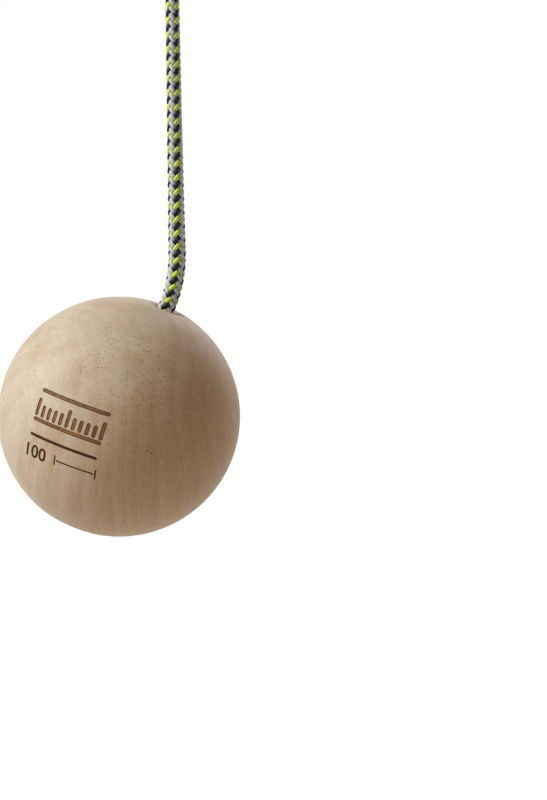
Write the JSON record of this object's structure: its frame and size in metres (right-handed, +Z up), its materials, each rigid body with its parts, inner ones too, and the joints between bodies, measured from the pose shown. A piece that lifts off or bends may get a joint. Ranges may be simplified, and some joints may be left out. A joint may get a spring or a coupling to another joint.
{
  "type": "pull-up grip ball",
  "caption": "Wooden grip ball hung on a braided cord: knotted in a recess under a washer, looped at the top into a sprung-gate carabiner.",
  "frame": {"origin": "the point inside the carabiner's top bow where it hangs on its anchor", "axes": "+Z up along the plumb line of the cord; the carabiner lies in the XZ plane with its gate on the +X side, and the ball leans towards -X as the picture shows it"},
  "size_m": [0.1, 0.1, 0.389],
  "materials": {
    "beech": "sanded matt, pale beech with fine pores",
    "braided_cord": "polyamide tubular braid, lime and black floats between silver grey ones",
    "zinc_steel": "zinc plated",
    "alloy": "clear anodised, satin",
    "stainless_steel": "turned"
  },
  "bodies": {
    "carabiner": {"carabiner_body": "alloy", "gate_rivet": "stainless_steel"},
    "gate": {"carabiner_gate": "alloy", "latch_pin": "stainless_steel", "gate_spring": "stainless_steel"},
    "plunger": {"gate_plunger": "stainless_steel"},
    "line": {"cord_loop": "braided_cord", "loop_knot": "braided_cord", "standing_cord": "braided_cord", "cord_bend": "braided_cord"},
    "cord_end": {"bore_cord": "braided_cord", "stopper_knot": "braided_cord", "knot_washer": "zinc_steel"},
    "ball": {"wooden_ball": "beech"}
  },
  "joints": [
    {"name": "gate_hinge", "type": "hinge", "parent": "carabiner", "child": "gate", "pos_m": [0.016, 0, -0.0465], "axis": [0, -1, 0], "range_deg": [0, 32], "stiffness_Nm_per_rad": 0.08, "springref_deg": -28.65},
    {"name": "plunger_slide", "type": "slide", "parent": "gate", "child": "plunger", "axis": [0, 0, 1], "range_m": [0, 0.0012], "deforming": ["gate_spring"]},
    {"name": "line_swing", "type": "hinge", "parent": "carabiner", "child": "line", "pos_m": [0, 0, -0.068], "axis": [1, 0, 0], "range_deg": [-90, 90]},
    {"name": "ball_lean", "type": "hinge", "parent": "line", "child": "cord_end", "pos_m": [0, 0, -0.27484], "axis": [0, 1, 0], "range_deg": [-84, 36], "deforming": ["cord_bend"]},
    {"name": "ball_spin", "type": "hinge", "parent": "cord_end", "child": "ball", "pos_m": [-0.025, 0, -0.331], "axis": [0.4067, 0, 0.9135], "continuous": true}
  ],
  "couplings": [
    {"joint": "plunger_slide", "follows": "gate_hinge", "m_per_rad": 0.002}
  ]
}
